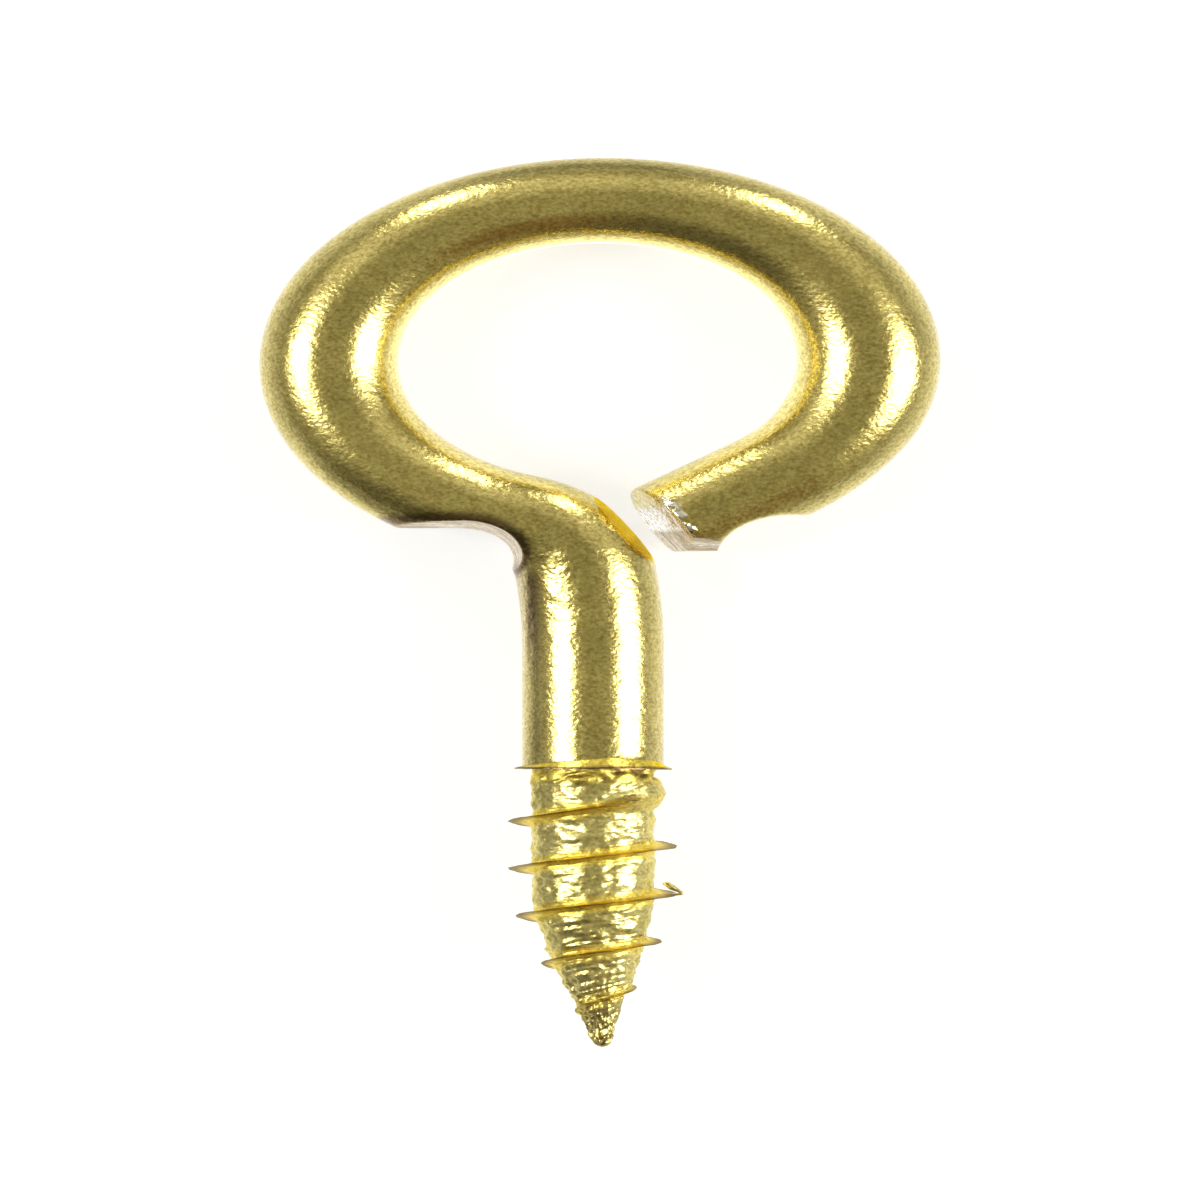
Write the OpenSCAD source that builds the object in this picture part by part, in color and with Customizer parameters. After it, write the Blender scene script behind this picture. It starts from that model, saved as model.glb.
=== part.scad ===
// Screw eye: one length of plated wire, bent round into an open eye with a short neck.
// The lower end of its shank carries a cut wood-screw thread that runs out into a gimlet point.
// It lies on its side as it comes to rest: the eye is nearly level and the point is towards -Y.
// Every sub-part is drawn upright first, with the eye's centre at [0, 0, 0], its plane in XY
// and the shank along -Y. The last module lays the whole piece down.

/* [Wire] */
// Diameter of the wire
wire_d = 2.4; // [1.8:0.1:3]
// How much thinner the wire is, in radius, in the runs that were drawn through the bending dies
thinning = 0.01; // [0.006:0.002:0.02]
// Length over all, from the top of the eye to the point
length = 25; // [22:0.5:40]

/* [Eye] */
// Inner diameter of the eye
eye_inner_d = 6.7; // [6:0.1:9]
// How much tighter the last quarter of the eye is bent, in radius
closing_in = 0.39; // [0:0.01:0.8]
// Slope at which the straight free end leaves the eye, in degrees
free_end_slope = 38; // [32:1:46]

/* [Neck] */
// Inner radius of the bend from the eye into the shank
neck_inner_r = 0.65; // [0.5:0.05:1.2]
// Centreline radius of the slow curve that follows this bend
lean_r = 18; // [10:1:30]
// Turn of the slow curve, in degrees
lean_angle = 7; // [2:1:10]
// Place of the shank's axis to the right of the eye's centre
shank_offset = -0.06; // [-0.5:0.02:0.5]

/* [Shear cut] */
// Gap between the two sheared faces, at half the wire's thickness
cut_gap = 0.68; // [0.5:0.02:1]
// Angle between the cut and the shank, in degrees
cut_angle = 28.8; // [22:0.2:36]
// How deep the same cut grazes the neck, at half the wire's thickness
neck_graze = 0.25; // [0.15:0.01:0.35]
// Lean of both sheared faces, which open upwards, in degrees
cut_rake = 9; // [2:1:14]
// How much of the free end's lower heel is sheared off
heel_cut = 0.42; // [0.2:0.02:0.6]
// Lean of the heel's upper half, in degrees
heel_rake = 18; // [5:1:30]

/* [Die marks] */
// Radius of the forming die's edges
die_r = 1.28; // [1.1:0.02:1.4]
// How deep the die has bitten into the wire beside the neck
neck_bite = 0.4; // [0.2:0.02:0.5]
// Place of this bite, in degrees from the foot of the eye
neck_bite_angle = 25; // [24:0.5:28]
// How deep the die has bitten into the wire beside the free end
end_bite = 0.54; // [0.2:0.02:0.7]
// Place of this bite, in degrees from the foot of the eye
end_bite_angle = 30.4; // [29:0.2:33]

/* [Thread] */
// Length of the threaded part, with its point
thread_len = 7.8; // [6.5:0.1:10.5]
// Pitch of the single right-hand thread
pitch = 1.34; // [1:0.02:1.8]
// How far the sharp crests stand out past the wire's surface
crest_rise = 0.25; // [0.15:0.01:0.5]
// How deep the core between the crests is cut below the wire's surface
root_cut = 0.17; // [0.1:0.01:0.3]
// Width of the sharp crest
crest_w = 0.05; // [0.03:0.01:0.12]
// Width of the fin where it meets the core
fin_base_w = 0.52; // [0.3:0.02:0.8]
// Share of the fin's height at which its hollow flanks turn
flank_turn = 0.38; // [0.25:0.01:0.5]
// Turn at which the thread starts, counted in degrees from the point
thread_phase = 80; // [0:5:355]
// Turns over which the thread grows to its full height
run_in = 1; // [0.5:0.1:1.5]

/* [Point] */
// Length over which the core narrows to the point
point_len = 4.2; // [3:0.1:5]
// Roundness of the point's sides: 1 is a plain cone
point_belly = 1.3; // [1:0.05:2]
// Diameter of the blunt tip
tip_d = 0.22; // [0.1:0.02:0.4]
// Distance from the tip at which the fins begin
fins_from = 0.6; // [0.3:0.1:1]
// Sideways drift of the tip from the shank's axis
tip_drift = 0.16; // [0:0.01:0.3]

/* [Shoulder] */
// How far the ridge thrown up by the thread cutter stands out past the end of the plain shank
shoulder_rise = 0.13; // [0.05:0.01:0.25]
// Height of this ridge
shoulder_h = 0.2; // [0.1:0.02:0.4]

/* [Hidden] */

brass = [0.72, 0.61, 0.27];
round_fn = 96;          // facets of every true round
thread_fn = 40;         // steps of the thread in one turn
sunk = 0.25;            // how far the thread's core runs up into the shank
overlap = 0.1;          // how far each thinner run of the wire reaches into the thicker ones
tip_land = 0.05;        // height of the tip's rounded cap
drift_power = 1.5;      // how fast the tip's drift dies away up the point
big = 4 * wire_d;       // side of a block that cuts all the way through the wire

wire_r = wire_d / 2;
drawn_r = wire_r - thinning;
eye_r = eye_inner_d / 2 + wire_r;
closing_r = eye_r - closing_in;
neck_r = neck_inner_r + wire_r;

// The neck's two arcs follow from the eye, the shank's axis and their radii.
lean_shift = lean_r * (1 - cos(lean_angle));
neck_from = asin((neck_r * cos(lean_angle) + lean_shift - shank_offset) / (eye_r + neck_r));
neck_centre = -(eye_r + neck_r) * [sin(neck_from), cos(neck_from)];
neck_overlap = overlap / neck_r * 180 / PI;
shank_top = neck_centre.y - (lean_r - neck_r) * sin(lean_angle);

// The two sheared faces: distances from the eye's centre along the cut's normal.
cut_normal = [cos(cut_angle), sin(cut_angle)];
neck_face = neck_centre * cut_normal + neck_r + drawn_r - neck_graze;
end_face = neck_face + cut_gap;

// The free end: where it leaves the eye, its direction, and its lower corner at the sheared face.
end_dir = -[cos(free_end_slope), sin(free_end_slope)];
end_out = [sin(free_end_slope), -cos(free_end_slope)];
end_from = [closing_in, 0] + closing_r * end_out;
end_heel_start = end_from + drawn_r * end_out;
end_len = (end_face - end_heel_start * cut_normal) / (end_dir * cut_normal);
end_heel = end_heel_start + end_len * end_dir;

// The thread and its point, measured from the tip up the shank.
tip_y = eye_r + wire_r - length;
root_r = wire_r - root_cut;
crest_r = wire_r + crest_rise;
tip_r = tip_d / 2;
fin_h = crest_r - root_r;
thread_end = thread_len - 0.1 * pitch;
core_top = thread_len + sunk;
phase_z = pitch * thread_phase / 360;

// Laid down, it rests on the far side of the eye and on the lowest full crest.
first_full = thread_end - run_in * pitch;
rest_turn = floor((first_full - phase_z) / pitch - 0.25) + 0.25;
rest_crest_y = tip_y + phase_z + rest_turn * pitch;
rest_tilt = asin(crest_rise / (eye_r - rest_crest_y));
rest_h = eye_r * sin(rest_tilt) + wire_r;
mid_y = ((eye_r + tip_y) * cos(rest_tilt) + wire_r) / 2;

// A bend of the wire: centreline radius, first angle, sweep and the wire's own radius
module bend(r, from, sweep, section_r = wire_r) {
    rotate_extrude(angle = sweep, start = from, $fn = round_fn)
        translate([r, 0]) circle(section_r, $fn = round_fn);
}

// A straight, drawn run of the wire, which starts inside the bend that it leaves
module straight(from, direction, len) {
    translate([from.x - overlap * direction.x, from.y - overlap * direction.y, 0])
        rotate([0, 90, atan2(direction.y, direction.x)])
            cylinder(r = drawn_r, h = len + overlap, $fn = round_fn);
}

// All that lies beyond one sheared face. side is 1 for the neck's face and -1 for the cut end's.
module beyond_cut(distance, side) {
    rotate([0, 0, cut_angle])
        translate([distance, 0, 0])
            rotate([0, -side * cut_rake, 0])
                translate([side > 0 ? 0 : -big, -2 * big, -big / 2])
                    cube([big, 4 * big, big]);
}

// A round bite of the die into the outside of the eye
module die_bite(angle, depth) {
    rotate([0, 0, angle - 90])
        translate([eye_r + wire_r - depth + die_r, 0, -wire_d])
            cylinder(r = die_r, h = 2 * wire_d, $fn = round_fn);
}

module eye() {
    bend(eye_r, 0, 270 - neck_from);
    translate([closing_in, 0, 0])
        bend(closing_r, free_end_slope - 90, 90 - free_end_slope);
}

module free_end() {
    difference() {
        straight(end_from, end_dir, end_len + wire_r);
        beyond_cut(end_face, -1);
        // The heel is sheared square below the middle and leans in above it.
        translate([end_heel.x - wire_d, end_heel.y + heel_cut - big, -big / 2])
            cube([2 * wire_d, big, big]);
        translate([end_heel.x - wire_d, end_heel.y + heel_cut, 0])
            rotate([-heel_rake, 0, 0])
                translate([0, -big, 0]) cube([2 * wire_d, big, big]);
    }
}

module neck() {
    difference() {
        union() {
            translate([neck_centre.x, neck_centre.y, 0])
                bend(neck_r, lean_angle - neck_overlap,
                    90 - neck_from - lean_angle + 2 * neck_overlap, drawn_r);
            translate([shank_offset - lean_r, shank_top, 0])
                bend(lean_r, 0, lean_angle);
        }
        beyond_cut(neck_face, 1);
    }
}

// The plain shank ends inside the shoulder
module shank() {
    straight([shank_offset, shank_top], [0, -1],
        shank_top - tip_y - thread_len - shoulder_h / 2);
}

// The ridge at the end of the plain shank, around the thread's own axis. Its upper side slopes
// down to the shank's surface at shoulder_h and goes on at the same slope inside the shank.
module shoulder() {
    shoulder_r = wire_r + shoulder_rise;
    land = [0.2, 0.4] * shoulder_h;
    slope = (shoulder_h - land[1]) / (shoulder_r - drawn_r);
    rotate_extrude($fn = round_fn)
        polygon([
            [0, 0], [root_r, 0], [shoulder_r, land[0]], [shoulder_r, land[1]],
            [drawn_r - overlap, shoulder_h + slope * overlap],
            [0, shoulder_h + slope * overlap]
        ]);
}

// Radius of the core at a height above the tip
function core_r(z) =
    tip_r + (root_r - tip_r) * (1 - pow(1 - min(1, max(0, z) / point_len), point_belly));

// Height of the fin where its crest stands at a height above the tip
function fin(z) =
    fin_h
    * min(1, max(0, (z - fins_from) / (point_len - fins_from)))
    * min(1, max(0, (thread_end - z) / (run_in * pitch)));

// One pitch of the thread's section: distance from the crest along the axis, share of the fin
function thread_section() = [
    [-pitch / 2, 0],
    [-fin_base_w / 2, 0],
    [-(fin_base_w * (1 - flank_turn) + crest_w * flank_turn) / 4, flank_turn],
    [-crest_w / 2, 1],
    [crest_w / 2, 1],
    [(fin_base_w * (1 - flank_turn) + crest_w * flank_turn) / 4, flank_turn],
    [fin_base_w / 2, 0]
];

// The thread is one closed skin. Its section is carried round the helix, and the end of each
// turn's strip is the start of the next turn's. What would pass either end lies on that end's ring.
module thread() {
    section = thread_section();
    n = len(section);
    first = floor(thread_fn * ((tip_land - phase_z) / pitch - 0.5));
    last = ceil(thread_fn * ((core_top - phase_z) / pitch + 0.5));

    function crest_z(i) = phase_z + pitch * i / thread_fn;
    function raw_z(i, j) = crest_z(i) + section[j][0];
    function spot(r, i, z) = [
        r * cos(360 * i / thread_fn) + tip_drift * pow(1 - min(1, z / point_len), drift_power),
        r * sin(360 * i / thread_fn),
        z
    ];
    function on_skin(i, j) =
        let (z = raw_z(i, j))
        spot(core_r(z) + fin(crest_z(i)) * section[j][1], i, min(core_top, max(tip_land, z)));

    // Rows of the strip, then the two end rings, then the middle of the top and the tip.
    skin = [for (i = [first:last + 1], j = [0:n - 1]) on_skin(i, j)];
    low_ring = [for (i = [0:thread_fn - 1]) spot(core_r(tip_land), i, tip_land)];
    top_ring = [for (i = [0:thread_fn - 1]) spot(root_r, i, core_top)];
    low = len(skin);
    top = low + thread_fn;
    top_mid = top + thread_fn;
    tip = top_mid + 1;

    function turn(i) = (i % thread_fn + thread_fn) % thread_fn;
    function index(i, j) =
        j == n ? index(i + thread_fn, 0)
        : raw_z(i, j) >= core_top ? top + turn(i)
        : raw_z(i, j) <= tip_land ? low + turn(i)
        : (i - first) * n + j;
    function facet(a, b, c) = a == b || b == c || a == c ? [] : [[a, b, c]];

    walls = [
        for (i = [first:last], j = [0:n - 1])
            let (
                a = index(i, j), b = index(i + 1, j),
                c = index(i + 1, j + 1), d = index(i, j + 1)
            )
            each concat(facet(a, c, b), facet(a, d, c))
    ];
    ends = [
        for (i = [0:thread_fn - 1])
            each [
                [top_mid, top + turn(i + 1), top + i],
                [tip, low + i, low + turn(i + 1)]
            ]
    ];
    polyhedron(concat(skin, low_ring, top_ring, [[0, 0, core_top], [tip_drift, 0, 0]]),
        concat(walls, ends));
}

module screw_eye() {
    color(brass)
        translate([0, -mid_y, rest_h])
            rotate([-rest_tilt, 0, 0]) {
                difference() {
                    union() {
                        eye();
                        free_end();
                        neck();
                        shank();
                    }
                    die_bite(-neck_bite_angle, neck_bite);
                    die_bite(end_bite_angle, end_bite);
                }
                translate([shank_offset, tip_y, 0])
                    rotate([-90, 0, 0]) {
                        translate([0, 0, thread_len]) shoulder();
                        thread();
                    }
            }
}

screw_eye();
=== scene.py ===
"""Screw eye: one plated wire with a cut wood-screw thread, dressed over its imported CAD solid.

Lengths are in metres. The wire and its thread are worked out upright, with the eye's centre at
the origin, the eye's plane in XY and the shank along -Y. They are laid down as the last step.
A pair of numbers is (where something starts, where it is full).
"""

import math

import bpy
from mathutils import Matrix, Vector


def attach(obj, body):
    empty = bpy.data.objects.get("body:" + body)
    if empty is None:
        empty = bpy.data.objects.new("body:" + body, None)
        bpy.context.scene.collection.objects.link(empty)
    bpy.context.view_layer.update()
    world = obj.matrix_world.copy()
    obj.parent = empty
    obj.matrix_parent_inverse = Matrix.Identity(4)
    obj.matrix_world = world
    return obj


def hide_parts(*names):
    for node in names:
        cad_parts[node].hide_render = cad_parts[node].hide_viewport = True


MM = 0.001
DEG = math.pi / 180

# The wire and the eye
WIRE_R = 1.2 * MM
EYE_INNER_D = 6.7 * MM
CLOSING_IN = 0.39 * MM
FREE_END_SLOPE = 38 * DEG
LENGTH = 25 * MM
RING_STEP = 0.14 * MM
FINE_STEP = 0.05 * MM
FINE_FROM = 220 * DEG
FACETS_AROUND = 112

# The neck, from the eye into the shank
NECK_INNER_R = 0.65 * MM
LEAN_R = 18 * MM
LEAN_ANGLE = 7 * DEG
SHANK_OFFSET = -0.06 * MM

# The shear cut
CUT_GAP = 0.6 * MM
CUT_ANGLE = 28.8 * DEG
END_RAKE = 13 * DEG
NECK_RAKE = 10 * DEG
NECK_GRAZE = 0.17 * MM
NECK_REACH = 5 * MM
HEEL_CUT = 0.42 * MM
HEEL_RAKE = 18 * DEG
CAP_ROUNDING = 0.05 * MM
CAP_CROWN = 0.02 * MM
CAP_RINGS = 24
ROUNDING_RINGS = 6
INNER_CAP = 0.02 * MM
EDGE_SOFTNESS = 0.06 * MM

# The free end's sheared face: plated above, fresh steel in the middle painted near-white as a
# highlight, torn below
FACE_BARE = 0.35
FACE_TORN = (-4.70 * MM, -4.80 * MM)
FACE_UNPLATED = (-4.06 * MM, -4.18 * MM)
CHIP_SIZE = 0.4 * MM
CHIP_REACH = 1.1 * MM

# The bending die at the neck and at the free end, and the marks it left
DIE_INPUTS = ("centre", "radius", "softness", "run", "flare")
NECK_DIE = (Vector((-2.3 * MM, -5.56 * MM, 0)), 0.9 * MM, 0.05 * MM, 1.6 * MM, 0.18)
END_DIE_R = 1.28 * MM
END_DIE = (END_DIE_R, 0.14 * MM, 0.0, 0.0)
END_BITE = 0.54 * MM
END_BITE_ANGLE = 30.4 * DEG
MARK_EDGE = 0.015 * MM

# Painted shade beside the dies' marks and down the shank, the darker top of the neck facet, and the
# burnished strip. Heights count from the bend.
SHADE_ABOVE = 0.34 * MM
SHADE_BESIDE = 0.14 * MM
SHADE_FADE = 0.6
SHADE_SHARE = 0.92
SHANK_SHADE = 0.32 * MM
SHANK_SHADE_TOP = (0.4 * MM, 0.0)
SHANK_SHADE_FOOT = (-3.2 * MM, -1.4 * MM)
FACET_DARKENING = 0.22
FACET_DARKENED = (1.0 * MM, 1.9 * MM)
BURNISH_REACH = 0.2 * MM
BURNISH_EDGE = 2 * MARK_EDGE
BURNISH_SHARE = 0.6
SHANK_BURNISH = 4 * MM
WRINKLED = (1.1 * MM, 3.3 * MM)

# The thread's fin
THREAD_LEN = 7.8 * MM
PITCH = 1.34 * MM
CREST_RISE = 0.25 * MM
ROOT_CUT = 0.17 * MM
FIN_BASE_W = 0.38 * MM
FIN_POWER = 5.5
BLUNT_BASE_W = 0.84 * MM
BLUNT_POWER = 0.5
BLUNT_SHIFT = 0.15 * MM
BLUNT = (6.5 * MM, 6.95 * MM)
THREAD_PHASE = 80 / 360
RUN_IN = 1.0
RUN_OUT_GAP = 0.1
LOWEST_PHASE = 0.25
SUNK = 0.25 * MM
FINS_FROM = 0.2 * MM
CREST_WAVER = 0.05 * MM
WAVER_SIZE = 0.5
DENT_SIZE = 0.9
NICK_SIZE = 0.14
NICK_DEPTH = 0.12
NICK_BASE = 0.04
STEPS_PER_TURN = 120
STRIP_COLUMNS = 60
COLUMN_CROWDING = 1.8

# The thread's core and point
POINT_LEN = 4.2 * MM
POINT_BELLY = 1.3
TIP_R = 0.11 * MM
TIP_DRIFT = 0.16 * MM
DRIFT_POWER = 1.5
CORE_CLOSING = 0.02 * MM
RIDGE_DEPTH = 0.06 * MM
RIDGE_SIZE = 0.55
RIDGE_STRETCH = 0.6
RIDGES_TO = 0.6
SCRATCH_DEPTH = 0.01 * MM
SCRATCH_SIZE = 0.16
LUMP_DEPTH = 0.06 * MM
LUMP_SIZE = 0.6 * MM
CRUMPLE_DEPTH = 0.09 * MM
CRUMPLE_SIZE = 0.26 * MM
CRUMPLE_STRETCH = 0.8
ROUGH = (0.0, 0.3 * MM)
NIB_PINCH = 0.055 * MM
NIB = (0.2 * MM, 0.6 * MM)
NIB_TOP = (1.3 * MM, 2.0 * MM)
COLLAR = 0.5 * MM

# The thread's colours
FIN_LACQUER_AND_REFLECTION = 0.9
GOLD_REACH = 0.28 * MM
BLUNT_BARING = 0.6
CREST_DARKENED = (0.78, 0.95)
COLLAR_DARKENING = 0.8
COLLAR_DARKENED = (0.05, -0.25)
TIP_DARKENING = 0.2
TIP_DARKENED = (0.4 * MM, 2.2 * MM)
TIP_GROOVE_DARKENING = 0.5
TIP_GROOVES = (0.1, -0.3)

# The shoulder
SHOULDER_RISE = 0.13 * MM
SHOULDER_H = 0.2 * MM
SHOULDER_RIM = 0.03 * MM
SHOULDER_SLOPE_LOW = 0.1 * MM
SHOULDER_SLOPE_HIGH = 0.75 * MM
SHOULDER_HIGH_SIDE = 288 * DEG
SHOULDER_PEAK = 3.0
SHOULDER_RAGGED = 0.05 * MM
SHOULDER_WAVER = 0.04 * MM
SHOULDER_LUMPS = 0.5
SHOULDER_COLUMNS = 48
SHOULDER_GOLD_SIDE = (0.45, 0.8)
SHOULDER_BRIGHT_SIDE = (0.5, 0.85)
SHOULDER_GOLD_RISE = 0.1
# Painted shade under the rim, and darker lumps on the low side.
SHOULDER_SHADE_RISE = 0.12
SHOULDER_LOW_DARKENING = 0.8
SHOULDER_DARKER_LUMPS = (-0.4, 0.4)

# A burr on the third full crest: (distance from the axis, height above the tip, thickness)
BURR = [
    (1.36 * MM, 4.29 * MM, 0.06 * MM),
    (1.51 * MM, 4.32 * MM, 0.07 * MM),
    (1.45 * MM, 4.40 * MM, 0.08 * MM),
    (1.34 * MM, 4.49 * MM, 0.14 * MM),
    (1.22 * MM, 4.63 * MM, 0.12 * MM),
]
BURR_STEPS = 4
BURR_FACETS = 12
BURR_CAP = 0.01 * MM

# The plating's relief
GRAIN_SIZE = 0.07 * MM
COARSE_GRAIN = 2.2
COARSE_DEPTH = 1.4
RIPPLE_SIZE = 0.35 * MM
RIPPLE_SHARE = 0.3
WRINKLE_GAIN = 1.5
TONE_SIZE = 4
WIRE_GRAIN = 0.08
THREAD_GRAIN = 0.1
SHEAR_STEP = 0.09 * MM
SHEAR_STRETCH = 0.12
SHEAR_DEPTH = 1.2
SHEAR_FULL = (0.5, 1.0)

# The plating's colours
WIRE_TONES = ((0.68, 0.575, 0.195), (0.81, 0.69, 0.24))
WIRE_ROUGHNESS = 0.22
THREAD_TONES = ((0.66, 0.575, 0.20), (0.92, 0.81, 0.32))
THREAD_ROUGHNESS = 0.3
THREAD_HAZE = 0.05
THREAD_EDGE = (0.98, 0.92, 0.64)
# The gold of gathered lacquer, and partly painted reflection: the deeper gold that light takes
# between facing brass faces.
GOLD_TONES = ((0.96, 0.66, 0.07), (1.0, 0.88, 0.16))
GOLD_ROUGHNESS = 0.18
GOLD_EDGE = (1.0, 0.80, 0.14)
GOLD_OVER = 0.7
LACQUER_AND_REFLECTION_GOLD = (1.0, 0.78, 0.14)
GOLD_ROUGHENING = 0.12
TONE_RANGE = (0.35, 0.65)
SPECKLE_RANGE = (0.3, 0.65)
SPECKLE_DARK = (0.66, 0.61, 0.50)
SPECKLE_PALE = (1.18, 1.18, 1.22)
# The brown of painted shade beside the dies' bites, down the shank and under the shoulder's rim, and
# of other darkening on crests, in hollows and near the tip.
DARKENING_BROWN = (0.16, 0.10, 0.05)
DARKENING_SHARE = 0.92
BARE_SHARE = 0.85
BARE_RANGE = (0.4, 0.62)
BARE_ROUGHENING = 0.12
BARE_DARK = (0.36, 0.27, 0.18)
BARE_PALE = (0.80, 0.70, 0.56)
# Fresh steel, painted near-white as a highlight.
FRESH_HIGHLIGHT = (1.0, 0.98, 0.90)
FRESH_HIGHLIGHT_RANGE = (0.35, 0.5)
SHARP_ANGLE = 50 * DEG

# The floor. Its shades and its glow are (centre, outer radius, inner radius).
FLOOR_HALF = 3.0
FLOOR_COLOUR = (0.5, 0.5, 0.5)
FLOOR_ROUGHNESS = 0.9
FLOOR_GLOW = 0.7
FLOOR_HORIZON = 0.38
FLOOR_NADIR = 1.27
FLOOR_SHADE = 0.6
FRONT_SHADE = ((-11 * MM, -6 * MM, 0.0), 9 * MM, 5 * MM)
BACK_SHADE = ((0.0, 20 * MM, 0.0), 8 * MM, 3 * MM)
EYE_GLOW = ((0.0, 8.6 * MM, 0.0), 4.5 * MM, 2 * MM)
EYE_GLOW_GAIN = 0.8
EYE_SHADE = ((0.0, 4.4 * MM, 0.0), 3.2 * MM, 1.4 * MM)
EYE_SHADE_DEPTH = 0.15

# The room. Its corners are (azimuth, angle from the zenith, inner angle, outer angle) in degrees.
WHITE = (1.0, 1.0, 1.0)
ROOM_GREY = (0.33, 0.315, 0.24)
WALL_GREY = (0.66, 0.64, 0.58)
WALL_BACK = (0.0, 0.6)
WALL_FOOT = (0.1, 0.5)
WALL_TOP = (0.7, 0.95)
DARK_CORNER = (246, 78, 20, 56)
DARK_GREY = (0.11, 0.105, 0.085)
WARM_CORNER = (290, 58, 8, 28)
WARM_GREY = (0.22, 0.15, 0.09)

# The lamps: (name, azimuth, angle from the zenith, width and height in degrees, radiance)
LAMPS = [
    ("left_softbox", 175, 50, 22, 35, 8.0),
    ("right_softbox", 357, 62, 25, 42, 8.0),
    ("top_left_softbox", 119, 74, 12, 29, 6.0),
    ("top_right_softbox", 56, 76, 12, 29, 6.0),
]
LAMP_DISTANCE = 0.4

# The camera
VIEW_HEIGHT = 33.8 * MM
VIEW_CENTRE = Vector((0.06 * MM, 0.06 * MM, 0))
SQUEEZE = 5 / 3
LENS_MM = 800
SENSOR_MM = 36
CLIP_START = 0.01
CLIP_END = 20

MERGE_DISTANCE = 1e-7
SEED = 7.0
SOCKET_KINDS = {int: "NodeSocketInt", float: "NodeSocketFloat", Vector: "NodeSocketVector"}

EYE_R = EYE_INNER_D / 2 + WIRE_R
CLOSING_R = EYE_R - CLOSING_IN
NECK_R = NECK_INNER_R + WIRE_R
ROOT_R = WIRE_R - ROOT_CUT
TIP_Y = EYE_R + WIRE_R - LENGTH
THREAD_END = THREAD_LEN - RUN_OUT_GAP * PITCH
CORE_TOP = THREAD_LEN + SUNK


def direction(angle):
    """A unit vector in the eye's plane, at an angle from +X."""
    return Vector((math.cos(angle), math.sin(angle), 0))


# The neck's two arcs follow from the eye, the shank's axis and their radii.
lean_shift = LEAN_R * (1 - math.cos(LEAN_ANGLE))
neck_reach = NECK_R * math.cos(LEAN_ANGLE) + lean_shift - SHANK_OFFSET
neck_from = math.asin(neck_reach / (EYE_R + NECK_R))
neck_centre = -(EYE_R + NECK_R) * Vector((math.sin(neck_from), math.cos(neck_from), 0))
shank_top = neck_centre.y - (LEAN_R - NECK_R) * math.sin(LEAN_ANGLE)

# The sheared faces, as distances from the eye's centre along the cut's normal
cut_normal = direction(CUT_ANGLE)
neck_face = neck_centre.dot(cut_normal) + NECK_R + WIRE_R - NECK_GRAZE
end_face = neck_face + CUT_GAP

# The free end's start, its direction, and its lower corner at the sheared face
end_dir = -direction(FREE_END_SLOPE)
end_out = direction(FREE_END_SLOPE - math.pi / 2)
end_from = Vector((CLOSING_IN, 0, 0)) + CLOSING_R * end_out
heel_start = end_from + WIRE_R * end_out
heel_len = (end_face - heel_start.dot(cut_normal)) / end_dir.dot(cut_normal)
end_heel = heel_start + end_dir * heel_len
end_len = (end_face - end_from.dot(cut_normal)) / end_dir.dot(cut_normal)

# Laid down, the piece rests on the far side of the eye and on the lowest full crest.
phase_z = PITCH * THREAD_PHASE
full_turns = (THREAD_END - RUN_IN * PITCH - phase_z) / PITCH
rest_turn = math.floor(full_turns - LOWEST_PHASE) + LOWEST_PHASE
rest_crest_y = TIP_Y + phase_z + rest_turn * PITCH
rest_tilt = math.asin(CREST_RISE / (EYE_R - rest_crest_y))
rest_h = EYE_R * math.sin(rest_tilt) + WIRE_R
mid_y = ((EYE_R + TIP_Y) * math.cos(rest_tilt) + WIRE_R) / 2
LAY_DOWN = Matrix.Translation((0, -mid_y, rest_h)) @ Matrix.Rotation(-rest_tilt, 4, "X")


# ---- node trees as plain arithmetic


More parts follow.
